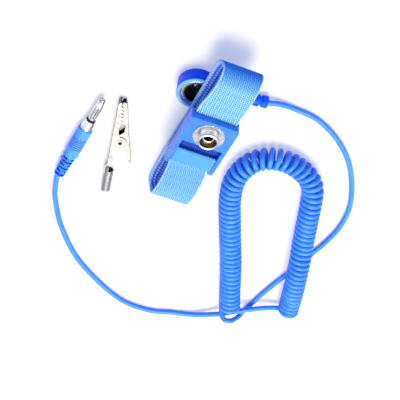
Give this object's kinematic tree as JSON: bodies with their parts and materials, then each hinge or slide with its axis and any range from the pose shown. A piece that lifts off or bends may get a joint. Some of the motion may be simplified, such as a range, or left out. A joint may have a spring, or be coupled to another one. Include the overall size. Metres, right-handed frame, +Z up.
{
  "type": "esd wrist strap",
  "caption": "Elastic wrist band with a cam buckle and snap stud, a curly grounding cord with a snap cap and a banana plug, and a loose crocodile clip.",
  "frame": {"origin": "on the surface that everything lies on, under the middle of the box around the wristband and the clip", "axes": "+X along the band from its near fold to its far fold, +Y across the band to the side where the snap's stem leaves, +Z up"},
  "size_m": [0.1741, 0.1504, 0.0276],
  "materials": {
    "band_cloth": "woven rib cloth with two rows of conductive thread inside",
    "buckle_plastic": "smooth moulded",
    "cap_plastic": "smooth moulded",
    "plug_plastic": "soft moulded",
    "cord_sheath": "smooth sheath",
    "nickel": "bright nickel plate",
    "steel_plate": "stamped",
    "spring_steel": "drawn wire",
    "tinned_wire": "tinned",
    "black_liner": "moulded",
    "resistor_body": "lacquered"
  },
  "bodies": {
    "strap_set": {"elastic_band": "band_cloth", "buckle_base": "buckle_plastic", "snap_stud": "nickel", "stud_eyelet": "nickel", "skin_contact_plate": "steel_plate", "snap_housing": "cap_plastic", "snap_socket_ring": "nickel", "socket_liner": "black_liner", "contact_spring": "nickel", "snap_contact_disc": "nickel", "series_resistor": "resistor_body", "resistor_leads": "tinned_wire", "snap_strain_relief": "cap_plastic", "cord_snap_side": "cord_sheath", "cord_coil": "cord_sheath", "cord_plug_side": "cord_sheath", "plug_strain_relief": "plug_plastic", "plug_handle": "plug_plastic", "plug_collar": "nickel", "plug_pin_core": "nickel", "clip_fixed_jaw": "nickel", "clip_rivet": "nickel"},
    "lever": {"clamp_lever": "buckle_plastic"},
    "jaw": {"clip_moving_jaw": "nickel", "clip_spring": "spring_steel"},
    "cage": {"plug_spring_cage": "nickel"}
  },
  "joints": [
    {"name": "clamp_lever_hinge", "type": "hinge", "parent": "strap_set", "child": "lever", "pos_m": [0.00776, 0.0148, 0.0179], "axis": [0, 1, 0], "range_deg": [0, 100]},
    {"name": "clip_jaw_hinge", "type": "hinge", "parent": "strap_set", "child": "jaw", "pos_m": [0.019, -0.0172, 0.00282], "axis": [0, 0, -1], "range_deg": [0, 28], "stiffness_Nm_per_rad": 0.02, "springref_deg": -22.92},
    {"name": "plug_cage_spin", "type": "hinge", "parent": "strap_set", "child": "cage", "pos_m": [0.00623, -0.03402, 0.00362], "axis": [-0.9969, 0.0785, 0], "continuous": true}
  ]
}
